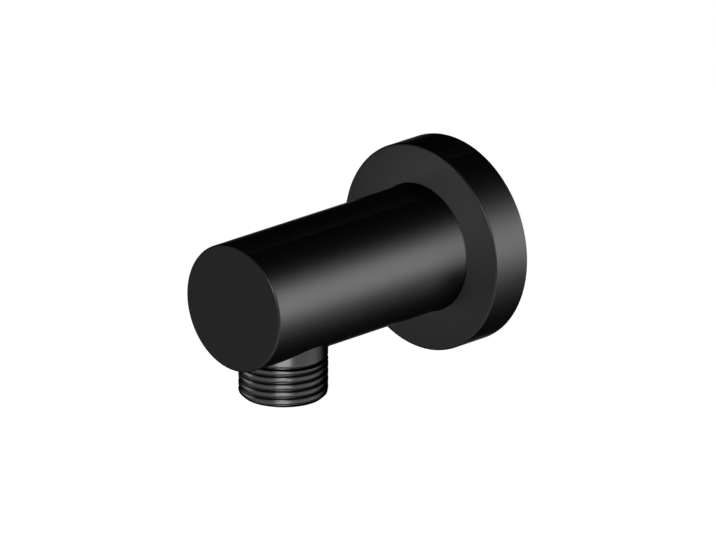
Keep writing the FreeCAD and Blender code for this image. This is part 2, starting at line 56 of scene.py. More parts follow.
MM = 0.001
BODY_LOW, BODY_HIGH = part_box("outlet_body")
ROSETTE_LOW, ROSETTE_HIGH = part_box("cover_rosette")
NIPPLE_LOW, NIPPLE_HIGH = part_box("outlet_nipple")
CONNECTOR_LOW, CONNECTOR_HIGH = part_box("wall_connector")
SCREW_LOW, SCREW_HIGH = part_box("locking_screw")
ALONG_BODY = Vector((0, 1, 0))
UPRIGHT = Vector((0, 0, 1))
ON_AXIS = Vector((0, 0, 0))
OUTLET_AT = Vector((0, (NIPPLE_LOW.y + NIPPLE_HIGH.y) / 2, 0))
SCREW_AT = Vector((0, (SCREW_LOW.y + SCREW_HIGH.y) / 2, 0))
MIDDLE = Vector((0, -0.035, 0))  # what the lamps face
WHOLE_TURN = 2 * math.pi
SAME_PLACE = 1e-7  # metres, under which two points count as one
EDGE_STEPS = 5  # flats across a rounded edge
BESIDE_EDGE = 0.6  # mm of narrow face beside a rounded edge, so that it shades clean
SMOOTH_BELOW = math.radians(35)
THREAD_STEPS = 128  # a threaded piece and its groove share their flats, which keeps the edge clean


# Settings


def length(name, description, default):
    """A size in metres that a user can change."""
    return bpy.props.FloatProperty(
        name=name, description=description, default=default, min=0, precision=5, unit="LENGTH"
    )


def colour(name, description, default):
    """A surface colour that a user can change."""
    return bpy.props.FloatVectorProperty(
        name=name, description=description, default=default, size=3, min=0, max=1, subtype="COLOR"
    )


def share(name, description, default):
    """A number from 0 to 1 that a user can change."""
    return bpy.props.FloatProperty(
        name=name, description=description, default=default, min=0, max=1, subtype="FACTOR"
    )


def angle(name, description, default):
    """An angle that a user can change, given here in degrees."""
    return bpy.props.FloatProperty(
        name=name, description=description, default=math.radians(default), subtype="ANGLE"
    )


class OutletBodySettings(bpy.types.PropertyGroup):
    """Edges of the turned body."""

    front_edge: length("Front edge", "Radius round the closed front end", 0.5 * MM)
    inner_edge: length("Inner edge", "Radius on the edges inside the bores", 0.25 * MM)
    steps: bpy.props.IntProperty(
        name="Steps", description="Flats round the bar", default=192, min=48, max=384
    )


class CoverRosetteSettings(bpy.types.PropertyGroup):
    """Edges of the cover on the wall."""

    front_edge: length("Front edge", "Radius round the front of the rim", 0.5 * MM)
    back_edge: length("Back edge", "Chamfer at the wall", 0.3 * MM)
    steps: bpy.props.IntProperty(
        name="Steps", description="Flats round the rosette", default=256, min=48, max=384
    )


class PipeThreadSettings(bpy.types.PropertyGroup):
    """The half-inch pipe thread, 14 to the inch, which the outlet and the connector both have."""

    pitch: length("Pitch", "Height of one turn", 1.8143 * MM)
    depth: length("Depth", "Depth of the groove", 0.55 * MM)
    crest: length("Crest", "Width of the thread's crest, with its two round edges", 0.95 * MM)
    flank: angle("Flank", "Slope of each side of the groove", 34.0)
    root_round: length("Root radius", "How far the groove's bottom corners are rounded", 0.03 * MM)
    crest_round: length("Crest radius", "How far the crest's corners are rounded", 0.17 * MM)
    turned_by: angle("Start", "Where round the outlet its thread starts", -188.4375)


class FinishSettings(bpy.types.PropertyGroup):
    """Colours and gloss of the finishes."""

    coat_colour: colour("Matt coat", "Colour of body and rosette", (0.0245, 0.0245, 0.0248))
    coat_roughness: share("Coat roughness", "How far the matt coat spreads a reflection", 0.36)
    plating_colour: colour("Plating", "Colour of the nipple", (0.055, 0.055, 0.056))
    plating_roughness: share("Plating roughness", "How far the plating spreads a reflection", 0.24)
    brass_colour: colour("Brass", "Colour of the bare connector", (0.71, 0.56, 0.27))
    rubber_colour: colour("Rubber", "Colour of the seal rings", (0.02, 0.02, 0.02))
    plastic_colour: colour("Plastic", "Colour of the valve's plastic", (0.78, 0.78, 0.74))
    steel_colour: colour("Steel", "Colour of spring and screw", (0.55, 0.56, 0.58))


class StudioSettings(bpy.types.PropertyGroup):
    """Camera, floor and light."""

    lens: bpy.props.FloatProperty(
        name="Lens", description="Focal length in millimetres", default=600.0, min=50.0
    )
    azimuth: angle("Azimuth", "How far the camera stands to the right of the front", 44.63)
    elevation: angle("Elevation", "How far the camera looks down", 19.383)
    roll: angle("Roll", "Tilt of the picture", 0.296)
    distance: length("Distance", "From the camera to the point that it looks at", 2.78224)
    floor_drop: length("Floor drop", "How far the floor lies under the body's axis", 0.45)
    floor_colour: colour("Floor", "Colour of the plain floor", (0.8, 0.8, 0.8))
    fill: share("Fill", "Level of the light from all round", 0.25)


# Tools for modelling


def only(piece):
    """Selects only this piece and makes it the active one, from object mode."""
    bpy.ops.object.select_all(action="DESELECT")
    piece.select_set(True)
    bpy.context.view_layer.objects.active = piece


def start_point(name, place):
    """A new piece that is one selected point, in edit mode."""
    bpy.ops.object.select_all(action="DESELECT")
    bpy.ops.mesh.primitive_plane_add(size=MM)
    piece = bpy.context.object
    piece.name = name
    piece.data.name = name
    bpy.ops.object.mode_set(mode="EDIT")
    bpy.ops.mesh.select_mode(type="VERT")
    bpy.ops.mesh.merge(type="CENTER")
    bpy.ops.transform.translate(value=place)
    return piece


def select_points(piece, places):
    """Selects the points of a piece, in edit mode, that lie at these places."""
    bpy.ops.mesh.select_all(action="DESELECT")
    bpy.ops.object.mode_set(mode="OBJECT")
    for point in piece.data.vertices:
        point.select = any((point.co - place).length < SAME_PLACE for place in places)
    bpy.ops.object.mode_set(mode="EDIT")


def turn(name, outline, axis, centre, steps):
    """Turns an outline round an axis, as on a lathe.

    Each place of the outline is its radius, how far along the axis it lies, and the radius of its
    rounded corner or 0, all in mm.
    """
    across = Vector((1, 0, 0))
    corners = []
    edges = []
    for radius, along, edge in outline:
        place = centre + (across * radius + axis * along) * MM
        corners.append(place)
        if edge:
            edges.append((edge * MM, place))
    # an outline that starts and ends on the axis is closed by its turning
    if outline[0][0] > 0 or outline[-1][0] > 0:
        corners.append(corners[0])
    piece = draw_outline(name, corners, edges)
    bpy.ops.mesh.select_all(action="SELECT")
    bpy.ops.mesh.spin(steps=steps, angle=WHOLE_TURN, center=centre, axis=axis)
    bpy.ops.mesh.select_all(action="SELECT")
    bpy.ops.mesh.remove_doubles(threshold=SAME_PLACE)
    bpy.ops.mesh.normals_make_consistent(inside=False)
    bpy.ops.object.mode_set(mode="OBJECT")
    return piece


def draw_outline(name, places, edges):
    """A line through these places, closed if the last is the first, with rounded corners.

    Each edge is the radius of a rounded corner, in metres, and its place.
    """
    piece = start_point(name, places[0])
    for here, there in zip(places, places[1:]):
        bpy.ops.mesh.extrude_vertices_move(TRANSFORM_OT_translate={"value": there - here})
    bpy.ops.mesh.select_all(action="SELECT")
    bpy.ops.mesh.remove_doubles(threshold=SAME_PLACE)
    for offset in sorted({offset for offset, _ in edges}):
        select_points(piece, [place for other, place in edges if other == offset])
        bpy.ops.mesh.bevel(offset=offset, segments=EDGE_STEPS, affect="VERTICES")
    return piece


def apply_modifier(piece, name, kind, **values):
    """Adds one modifier and applies it."""
    only(piece)
    modifier = piece.modifiers.new(name, kind)
    for key, value in values.items():
        setattr(modifier, key, value)
    bpy.ops.object.modifier_apply(modifier=name)


def cut(piece, cutter, name):
    """Takes the cutter's shape out of the piece, and then removes the cutter."""
    apply_modifier(piece, name, "BOOLEAN", operation="DIFFERENCE", object=cutter, solver="EXACT")
    bpy.data.objects.remove(cutter)


def drill(piece, name, radius, near, far, axis, centre, sides=96, turned_by=0.0):
    """Cuts a straight hole from one place along an axis to another, in mm."""
    bpy.ops.object.select_all(action="DESELECT")
    middle = centre + axis * ((near + far) / 2 * MM)
    tilt = UPRIGHT.rotation_difference(axis).to_matrix() @ Matrix.Rotation(turned_by, 3, "Z")
    bpy.ops.mesh.primitive_cylinder_add(
        vertices=sides,
        radius=radius * MM,
        depth=abs(far - near) * MM,
        location=middle,
        rotation=tilt.to_euler(),
    )
    cut(piece, bpy.context.object, name)


def cut_key_socket(piece, key, near, far, axis, centre, turned_by=0.0):
    """Cuts a socket for a hexagon key, whose size in mm is across its flats."""
    corner = key / 2 / math.cos(math.pi / 6)
    drill(piece, "Key socket", corner, near, far, axis, centre, 6, turned_by)


def thread_groove(name, thread, crest, axis, centre, relief, free_end, turned_by=0.0):
    """A cutter for a right-hand thread's groove, from the middle of a relief out past the free end.

    The crest is the thread's outside radius. It and the two places along the axis are in mm.
    """
    pitch = thread.pitch / MM
    depth = thread.depth / MM
    mouth = (pitch - thread.crest / MM) / 2
    root = mouth - depth * math.tan(thread.flank)
    # just above its mouth the cutter widens, so that rounding the mouth's corners rounds the crest
    corners = [(-depth, root), (0, mouth), (0.02, mouth + 0.3), (0.3, mouth + 0.35)]
    section = [(crest + out, -up) for out, up in reversed(corners)]
    section += [(crest + out, up) for out, up in corners]
    # the helix has a turn to spare at each end, and what lies past the relief is cut off it below
    begin = min(relief, free_end) - pitch
    turns = math.ceil(abs(relief - free_end) / pitch) + 2
    across = Matrix.Rotation(turned_by, 3, axis) @ Vector((1, 0, 0))
    places = [(across * radius + axis * (begin + up)) * MM for radius, up in section]
    mouth_sides, root_sides = (places[2], places[5]), (places[3], places[4])
    edges = [(thread.crest_round, place) for place in mouth_sides]
    edges += [(thread.root_round, place) for place in root_sides]
    groove = draw_outline(name, places + places[:1], edges)
    bpy.ops.object.mode_set(mode="OBJECT")
    apply_modifier(
        groove,
        "Helix",
        "SCREW",
        axis="Z" if axis == UPRIGHT else "Y",
        screw_offset=thread.pitch,
        iterations=turns,
        steps=THREAD_STEPS,
        render_steps=THREAD_STEPS,
        use_merge_vertices=True,
    )
    only(groove)
    bpy.ops.object.mode_set(mode="EDIT")
    bpy.ops.mesh.select_all(action="SELECT")
    bpy.ops.mesh.fill_holes(sides=0)
    bpy.ops.mesh.select_all(action="SELECT")
    bpy.ops.mesh.normals_make_consistent(inside=False)
    bpy.ops.transform.translate(value=centre)
    bpy.ops.object.mode_set(mode="OBJECT")
    past = math.copysign(3 * pitch, relief - free_end)
    drill(groove, "Run out", crest + 2, relief, relief + past, axis, centre)
    return groove


def finish_piece(piece, material, body, slot, *nodes):
    """Smooths a piece, gives it its finish and ties it to the frame."""
    only(piece)
    bpy.ops.object.transform_apply(location=True, rotation=True, scale=True)
    bpy.ops.object.shade_smooth_by_angle(angle=SMOOTH_BELOW)
    piece.data.materials.clear()
    piece.data.materials.append(bpy.data.materials[material])
    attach(piece, body)
    if nodes:
        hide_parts(*nodes)


def dress_node(node, material):
    """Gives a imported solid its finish."""
    for slot in NODES[node].material_slots:
        slot.material = bpy.data.materials[material]


# Finishes


def place_node(tree, kind, across, down, **values):
    """Adds a node and sets its own values."""
    node = tree.nodes.new(kind)
    node.location = (across * 200, -down * 200)
    for key, value in values.items():
        setattr(node, key, value)
    return node


def new_effect(name, inputs, outputs):
    """A shared effect with its inputs and their usual values, and its outputs."""
    tree = bpy.data.node_groups.new(name, "ShaderNodeTree")
    face = tree.interface
    for socket, value in inputs.items():
        added = face.new_socket(socket, in_out="INPUT", socket_type="NodeSocketFloat")
        added.default_value = value
    for socket in outputs:
        face.new_socket(socket, in_out="OUTPUT", socket_type="NodeSocketFloat")
    given = place_node(tree, "NodeGroupInput", 0, 0)
    result = place_node(tree, "NodeGroupOutput", 4, 0)
    return tree, given, result


def grain_group():
    """Shared effect: fine grain as a height, and slow drift of tone as a mask."""
    tree, given, result = new_effect(
        "Fine grain", {"Grain Scale": 4000, "Drift Scale": 60}, ("Height", "Drift")
    )
    where = place_node(tree, "ShaderNodeTexCoord", 0, 2)
    grain = place_node(tree, "ShaderNodeTexNoise", 2, 0)
    grain.inputs["Detail"].default_value = 2.0
    drift = place_node(tree, "ShaderNodeTexNoise", 2, 2)
    drift.inputs["Detail"].default_value = 3.0
    tree.links.new(where.outputs["Object"], grain.inputs["Vector"])
    tree.links.new(where.outputs["Object"], drift.inputs["Vector"])
    tree.links.new(given.outputs["Grain Scale"], grain.inputs["Scale"])
    tree.links.new(given.outputs["Drift Scale"], drift.inputs["Scale"])
    tree.links.new(grain.outputs["Fac"], result.inputs["Height"])
    tree.links.new(drift.outputs["Fac"], result.inputs["Drift"])


def turning_group():
    """Shared effect: the fine rings that a lathe leaves, which change only along the axis."""
    tree, given, result = new_effect(
        "Turning marks", {"Along": 0, "Marks Scale": 9000}, ("Height",)
    )
    marks = place_node(tree, "ShaderNodeTexNoise", 2, 0, noise_dimensions="1D")
    marks.inputs["Detail"].default_value = 3.0
    tree.links.new(given.outputs["Along"], marks.inputs["W"])
    tree.links.new(given.outputs["Marks Scale"], marks.inputs["Scale"])
    tree.links.new(marks.outputs["Fac"], result.inputs["Height"])


def new_finish(name):
    """A new material's node tree, and its Principled BSDF."""
    material = bpy.data.materials.new(name)
    material.use_nodes = True
    tree = material.node_tree
    return tree, tree.nodes["Principled BSDF"]


def place_effect(tree, name, down, values):
    """Places a shared effect in a material, with this material's own values."""
    node = place_node(tree, "ShaderNodeGroup", -4, down)
    node.node_tree = bpy.data.node_groups[name]
    for socket, value in values.items():
        node.inputs[socket].default_value = value
    return node


def place_marks(tree, axis, scale):
    """Places the turning marks of a piece that was turned round this axis."""
    where = place_node(tree, "ShaderNodeTexCoord", -8, 0)
    parts = place_node(tree, "ShaderNodeSeparateXYZ", -6, 0)
    tree.links.new(where.outputs["Object"], parts.inputs["Vector"])
    marks = place_effect(tree, "Turning marks", 0, {"Marks Scale": scale})
    tree.links.new(parts.outputs[axis], marks.inputs["Along"])
    return marks


def scaled(tone, factor):
    """A colour made lighter or darker."""
    return tuple(min(1.0, part * factor) for part in tone)


def vary_colour(tree, shader, mask, tone, low, high):
    """Lets a mask move the base colour between a darker and a lighter share of a tone."""
    node = place_node(tree, "ShaderNodeMix", -2, 0, data_type="RGBA")
    node.inputs["A"].default_value = (*scaled(tone, low), 1)
    node.inputs["B"].default_value = (*scaled(tone, high), 1)
    tree.links.new(mask, node.inputs["Factor"])
    tree.links.new(node.outputs["Result"], shader.inputs["Base Color"])


def vary_roughness(tree, shader, mask, low, high):
    """Lets the middle part of a mask move the roughness from one value to another."""
    node = place_node(tree, "ShaderNodeMapRange", -2, 1)
    node.inputs["From Min"].default_value = 0.3
    node.inputs["From Max"].default_value = 0.7
    node.inputs["To Min"].default_value = low
    node.inputs["To Max"].default_value = high
    tree.links.new(mask, node.inputs["Value"])
    tree.links.new(node.outputs["Result"], shader.inputs["Roughness"])


def raise_surface(tree, shader, height, strength, distance):
    """A bump from a height."""
    node = place_node(tree, "ShaderNodeBump", -2, 2)
    node.inputs["Strength"].default_value = strength
    node.inputs["Distance"].default_value = distance
    tree.links.new(height, node.inputs["Height"])
    tree.links.new(node.outputs["Normal"], shader.inputs["Normal"])


def make_coat(finish):
    """Matt black electro-coat: dark, with a soft reflection that fades out at the rims."""
    tree, shader = new_finish("Matt black coat")
    grain = place_effect(tree, "Fine grain", 0, {"Grain Scale": 5200, "Drift Scale": 45})
    shader.inputs["Metallic"].default_value = 1.0
    shader.inputs["Specular Tint"].default_value = (0, 0, 0, 1)
    rough = finish.coat_roughness
    vary_colour(tree, shader, grain.outputs["Drift"], finish.coat_colour, 0.96, 1.04)
    vary_roughness(tree, shader, grain.outputs["Drift"], rough - 0.01, rough + 0.01)
    raise_surface(tree, shader, grain.outputs["Height"], 0.05, 0.02 * MM)


def make_plating(finish):
    """Satin black plating over turned brass, shinier than the coat."""
    tree, shader = new_finish("Satin black plating")
    marks = place_marks(tree, "Z", 7000)
    grain = place_effect(tree, "Fine grain", 2, {})
    shader.inputs["Metallic"].default_value = 1.0
    shader.inputs["Specular Tint"].default_value = (0, 0, 0, 1)
    rough = finish.plating_roughness
    vary_colour(tree, shader, grain.outputs["Drift"], finish.plating_colour, 0.94, 1.06)
    vary_roughness(tree, shader, marks.outputs["Height"], rough - 0.02, rough + 0.03)
    raise_surface(tree, shader, marks.outputs["Height"], 0.08, 0.02 * MM)


def make_brass(finish):
    """Bare turned brass that has gone slightly dull."""
    tree, shader = new_finish("Turned brass")
    marks = place_marks(tree, "Y", 6000)
    grain = place_effect(tree, "Fine grain", 2, {"Drift Scale": 180})
    shader.inputs["Metallic"].default_value = 1.0
    vary_colour(tree, shader, grain.outputs["Drift"], finish.brass_colour, 0.78, 1.05)
    vary_roughness(tree, shader, grain.outputs["Drift"], 0.36, 0.22)
    raise_surface(tree, shader, marks.outputs["Height"], 0.25, 0.03 * MM)


def make_rubber(finish):
    """Black moulded rubber with a faint bloom."""
    tree, shader = new_finish("Black rubber")
    grain = place_effect(tree, "Fine grain", 0, {"Grain Scale": 6000, "Drift Scale": 300})
    shader.inputs["Specular IOR Level"].default_value = 0.35
    vary_colour(tree, shader, grain.outputs["Drift"], finish.rubber_colour, 0.8, 1.6)
    vary_roughness(tree, shader, grain.outputs["Drift"], 0.5, 0.62)
    raise_surface(tree, shader, grain.outputs["Height"], 0.15, 0.02 * MM)


def make_plastic(finish):
    """White moulded plastic of the valve."""
    tree, shader = new_finish("White moulded plastic")
    grain = place_effect(tree, "Fine grain", 0, {"Grain Scale": 3000, "Drift Scale": 220})
    shader.inputs["Subsurface Weight"].default_value = 0.1
    shader.inputs["Subsurface Radius"].default_value = (0.8 * MM, 0.7 * MM, 0.6 * MM)
    vary_colour(tree, shader, grain.outputs["Drift"], finish.plastic_colour, 0.97, 1.0)
    vary_roughness(tree, shader, grain.outputs["Drift"], 0.4, 0.48)
    raise_surface(tree, shader, grain.outputs["Height"], 0.1, 0.02 * MM)


def make_steel(finish):
    """Plain stainless steel of spring and screw."""
    tree, shader = new_finish("Stainless steel")
    grain = place_effect(tree, "Fine grain", 0, {"Grain Scale": 8000, "Drift Scale": 500})
    shader.inputs["Metallic"].default_value = 1.0
    vary_colour(tree, shader, grain.outputs["Drift"], finish.steel_colour, 0.92, 1.05)
    vary_roughness(tree, shader, grain.outputs["Drift"], 0.24, 0.34)
    raise_surface(tree, shader, grain.outputs["Height"], 0.1, 0.01 * MM)


class ELBOW_OT_finishes(bpy.types.Operator):
    """Make the finishes of all pieces"""

    bl_idname = "elbow.finishes"
    bl_label = "Finishes"

    def execute(self, context):
        finish = context.scene.elbow_finish
        grain_group()
        turning_group()
        make_coat(finish)
        make_plating(finish)
        make_brass(finish)
        make_rubber(finish)
        make_plastic(finish)
        make_steel(finish)
        return {"FINISHED"}


# Pieces


class ELBOW_OT_outlet_body(bpy.types.Operator):
    """Turn the body, bore it and cut the nipple's port and the screw's hole"""

    bl_idname = "elbow.outlet_body"
    bl_label = "Outlet body"

    def execute(self, context):
        sizes = context.scene.elbow_body
        radius = BODY_HIGH.x / MM
        front = BODY_LOW.y / MM
        back = BODY_HIGH.y / MM
        channel, channel_end, drill_tip = 6.5, -59.7, -63.6056
        socket, socket_end = 11.0, -28.0
        lead_in, chamfer = 0.4, 0.4
        # places on the straight lines keep the faces short beside the port and the screw's hole
        outline = [
            (0, drill_tip, 0),
            (channel, channel_end, 0),
            (channel, -43.7, 0),
            (channel, socket_end, sizes.inner_edge / MM),
            (socket, socket_end, 0),
            (socket, -8.0, 0),
            (socket, -2.3, 0),
            (socket + lead_in, back, 0),
            (radius - chamfer, back, 0),
            (radius, back - 2 * chamfer, 0),
        ]
        outline += [
            (radius, along, 0) for along in (-2.5, -7.5, -14.0, -22.0, -30.0, -38.0, -44.6, -66.8)
        ]
        outline += [
            (radius, front + BESIDE_EDGE, 0),
            (radius, front, sizes.front_edge / MM),
            (radius - BESIDE_EDGE, front, 0),
            (8.0, front, 0),
            (0, front, 0),
        ]
        body = turn("turned_body", outline, ALONG_BODY, ON_AXIS, sizes.steps)
        port, recess = 9.0475, 10.5475
        top, shoulder, below = -3.0, -9.5, -20.0
        outline = [
            (0, top, 0),
            (port, top, 0),
            (port, shoulder, 0),
            (recess, shoulder, 0),
            (recess, below, 0),
            (0, below, 0),
        ]
        cutter = turn("port_cutter", outline, UPRIGHT, OUTLET_AT, 128)
        cut(body, cutter, "Port")
        drill(body, "Screw hole", 2.02, -10.0, -17.0, UPRIGHT, SCREW_AT, sides=48)
        finish_piece(body, "Matt black coat", "fitting", "black_coat", "outlet_body")
        return {"FINISHED"}


class ELBOW_OT_cover_rosette(bpy.types.Operator):
    """Turn the cover rosette with its ring groove and the wall seal's groove"""

    bl_idname = "elbow.cover_rosette"
    bl_label = "Cover rosette"

    def execute(self, context):
        sizes = context.scene.elbow_rosette
        radius = ROSETTE_HIGH.x / MM
        front = ROSETTE_LOW.y / MM
        chamfer = sizes.back_edge / MM
        bore, lead_in = 15.35, 15.55
        ring, ring_front, ring_back = 16.95, -9.98, -7.82
        hollow, floor = 21.6, -7.1
        seal_inside, seal_outside, seal_floor = 22.45, 24.15, -1.6
        outline = [
            (radius, front, sizes.front_edge / MM),
            (radius - BESIDE_EDGE, front, 0),
            (20.0, front, 0),
            (15.75, front, 0),
            (lead_in, front, 0),
            (bore, front + 0.2, 0),
            (bore, ring_front, 0),
            (ring, ring_front, 0),
            (ring, ring_back, 0),
            (bore, ring_back, 0),
            (bore, -7.3, 0),
            (lead_in, floor, 0),
            (hollow, floor, 0.3),
            (hollow, 0, 0),
            (seal_inside, 0, 0),
            (seal_inside, seal_floor, 0),
            (seal_outside, seal_floor, 0),
            (seal_outside, 0, 0),
            (radius - chamfer, 0, 0),
            (radius, -chamfer, 0),
            (radius, -0.6, 0),
            (radius, front + BESIDE_EDGE, 0),
        ]
        rosette = turn("cover_shell", outline, ALONG_BODY, ON_AXIS, sizes.steps)
        finish_piece(rosette, "Matt black coat", "fitting", "black_coat", "cover_rosette")
        return {"FINISHED"}


class ELBOW_OT_hose_nipple(bpy.types.Operator):
    """Turn the outlet nipple, cut its hose thread and its key socket"""

    bl_idname = "elbow.hose_nipple"
    bl_label = "Hose nipple"

    def execute(self, context):
        thread = context.scene.elbow_thread
        crest = NIPPLE_HIGH.x / MM
        end = NIPPLE_LOW.z / MM
        top, shoulder = -3.5, -9.5
        channel, valve_bore, valve_stop = 4.0, 7.7975, -11.0
        screwed, ring_floor, ring_top = 8.9975, 7.6975, -7.69
        neck, relief = 10.4475, 9.2975
        relief_top, relief_end = -15.2, -15.8
        chamfer = 1.0
        outline = [
            (valve_bore, valve_stop, 0),
            (channel, valve_stop, 0),
            (channel, top, 0),
            (screwed - 0.5, top, 0),
            (screwed, top - 0.5, 0),
            (screwed, ring_top, 0),
            (ring_floor, ring_top, 0),
            (ring_floor, shoulder, 0),
            (neck, shoulder, 0),
            (neck, -13.5, 0),
            (neck, -14.6, 0),
            (neck, relief_top, 0.5),
            (relief, relief_top, 0.2),
            (relief, relief_end, 0.2),
            (crest, relief_end, 0.25),
            (crest, end + chamfer, 0.3),
            (crest - chamfer, end, 0.08),
            (valve_bore + 0.4, end, 0),
            (valve_bore, end + 0.4, 0),
        ]
        nipple = turn("hose_nipple", outline, UPRIGHT, OUTLET_AT, THREAD_STEPS)
        middle = (relief_top + relief_end) / 2
        groove = thread_groove(
            "groove", thread, crest, UPRIGHT, OUTLET_AT, middle, end, thread.turned_by
        )
        cut(nipple, groove, "Thread")
        cut_key_socket(nipple, 10.0, -3.0, -11.5, UPRIGHT, OUTLET_AT)
        finish_piece(nipple, "Satin black plating", "fitting", "black_plating", "outlet_nipple")
        return {"FINISHED"}


class ELBOW_OT_wall_connector(bpy.types.Operator):
    """Turn the brass connector, cut its wall thread and its key socket"""

    bl_idname = "elbow.wall_connector"
    bl_label = "Wall connector"

    def execute(self, context):
        thread = context.scene.elbow_thread
        front = CONNECTOR_LOW.y / MM
        end = CONNECTOR_HIGH.y / MM
        head = CONNECTOR_HIGH.x / MM
        channel, crest = 5.75, 10.4775
        ring_floor, screw_floor, relief = 9.15, 9.95, 9.0775
        relief_front, relief_end = -0.5, 1.0
        lead_in, chamfer = 1.0, 1.2
        outline = [
            (channel, front, 0),
            (head - lead_in, front, 0),
            (head, front + lead_in, 0),
        ]
        for near, far in ((-20.155, -17.845), (-13.655, -11.345)):
            outline += [(head, near, 0), (ring_floor, near, 0)]
            outline += [(ring_floor, far, 0), (head, far, 0)]
        outline += [
            (head, -5.8, 0),
            (screw_floor, -4.8, 0),
            (head, -3.8, 0),
            (head, relief_front, 0.2),
            (relief, relief_front, 0),
            (relief, relief_end, 0),
            (crest, relief_end, 0),
            (crest, end - chamfer, 0),
            (crest - chamfer, end, 0),
            (channel, end, 0.3),
        ]
        connector = turn("brass_connector", outline, ALONG_BODY, ON_AXIS, THREAD_STEPS)
        middle = (relief_front + relief_end) / 2
        groove = thread_groove("groove", thread, crest, ALONG_BODY, ON_AXIS, middle, end)
        cut(connector, groove, "Thread")
        cut_key_socket(connector, 12.0, -27.0, -14.0, ALONG_BODY, ON_AXIS, math.pi / 6)
        finish_piece(connector, "Turned brass", "fitting", "bare_brass", "wall_connector")
        return {"FINISHED"}


class ELBOW_OT_valve(bpy.types.Operator):
    """Give the valve's plastic pieces, its spring and the locking screw their finish"""

    bl_idname = "elbow.valve"
    bl_label = "Valve"

    def execute(self, context):
        for node in ("valve_seat", "valve_cage", "valve_poppet"):
            dress_node(node, "White moulded plastic")
        for node in ("valve_spring", "locking_screw"):
            dress_node(node, "Stainless steel")
        return {"FINISHED"}


class ELBOW_OT_seal_rings(bpy.types.Operator):
    """Give the seal rings their finish"""

    bl_idname = "elbow.seal_rings"
    bl_label = "Seal rings"

    def execute(self, context):
        for node in NODES:
            if "o_ring" in node or node == "wall_seal":
                dress_node(node, "Black rubber")
        return {"FINISHED"}


# Studio


def direction(azimuth, elevation):
    """The way to a place round the object, in degrees from the front towards the right and up."""
    turned, up = math.radians(azimuth), math.radians(elevation)
    flat = math.cos(up)
    return Vector((math.sin(turned) * flat, -math.cos(turned) * flat, math.sin(up)))


def add_lamp(name, way, distance, width, height, brightness):
    """A soft lamp that faces the object. Its brightness is that of its face, where 1 is white."""
    light = bpy.data.lights.new(name, "AREA")
    light.shape = "RECTANGLE"
    light.size = width
    light.size_y = height
    light.energy = brightness * math.pi * width * height
    lamp = bpy.data.objects.new(name, light)
    lamp.location = MIDDLE + way * distance
    lamp.rotation_euler = way.to_track_quat("Z", "Y").to_euler()
    lamp.visible_camera = False
    bpy.context.scene.collection.objects.link(lamp)
    return lamp


def linked_pieces(name, pieces, state):
    """A list of pieces for a lamp. INCLUDE: only these count for it. EXCLUDE: all but these do."""
    group = bpy.data.collections.new(name)
    for piece in pieces:
        group.objects.link(bpy.data.objects[piece])
    for entry in group.collection_objects:
        entry.light_linking.link_state = state
    return group


def background_share(tree, across, down):
    """1 for a ray that shows the background: from the camera, a mirror or through glass."""
    path = place_node(tree, "ShaderNodeLightPath", across, down)
    first = place_node(tree, "ShaderNodeMath", across + 1, down, operation="MAXIMUM")
    second = place_node(tree, "ShaderNodeMath", across + 2, down, operation="MAXIMUM")
    tree.links.new(path.outputs["Is Camera Ray"], first.inputs[0])
    tree.links.new(path.outputs["Is Glossy Ray"], first.inputs[1])
    tree.links.new(first.outputs[0], second.inputs[0])
    tree.links.new(path.outputs["Is Transmission Ray"], second.inputs[1])
    return second.outputs[0]


def make_world(fill):
    """Soft light from all round, and a white background under a dark ceiling."""
    world = bpy.data.worlds.new("Studio")
    bpy.context.scene.world = world
    world.use_nodes = True
    tree = world.node_tree
    light = tree.nodes["Background"]
    light.inputs["Strength"].default_value = fill
    light.inputs["Color"].default_value = (1, 1, 1, 1)
    white = place_node(tree, "ShaderNodeBackground", 0, 2)
    white.inputs["Color"].default_value = (1, 1, 1, 1)
    where = place_node(tree, "ShaderNodeTexCoord", -5, 3)
    parts = place_node(tree, "ShaderNodeSeparateXYZ", -4, 3)
    # white up to a little above the horizon, and from there a soft step to the dark ceiling
    under = place_node(tree, "ShaderNodeMapRange", -3, 3, interpolation_type="SMOOTHSTEP")
    under.inputs["From Min"].default_value = 0.03
    under.inputs["From Max"].default_value = 0.34
    under.inputs["To Min"].default_value = 1.0
    under.inputs["To Max"].default_value = 0.02
    path = place_node(tree, "ShaderNodeLightPath", -3, 5)
    shown = place_node(tree, "ShaderNodeMath", -1, 3, operation="MAXIMUM")
    tree.links.new(where.outputs["Generated"], parts.inputs["Vector"])
    tree.links.new(parts.outputs["Z"], under.inputs["Value"])
    tree.links.new(under.outputs["Result"], shown.inputs[0])
    tree.links.new(path.outputs["Is Camera Ray"], shown.inputs[1])
    tree.links.new(shown.outputs[0], white.inputs["Strength"])
    mix = place_node(tree, "ShaderNodeMixShader", 2, 0)
    tree.links.new(background_share(tree, -3, 0), mix.inputs[0])
    tree.links.new(light.outputs[0], mix.inputs[1])
    tree.links.new(white.outputs[0], mix.inputs[2])
    tree.links.new(mix.outputs[0], tree.nodes["World Output"].inputs["Surface"])


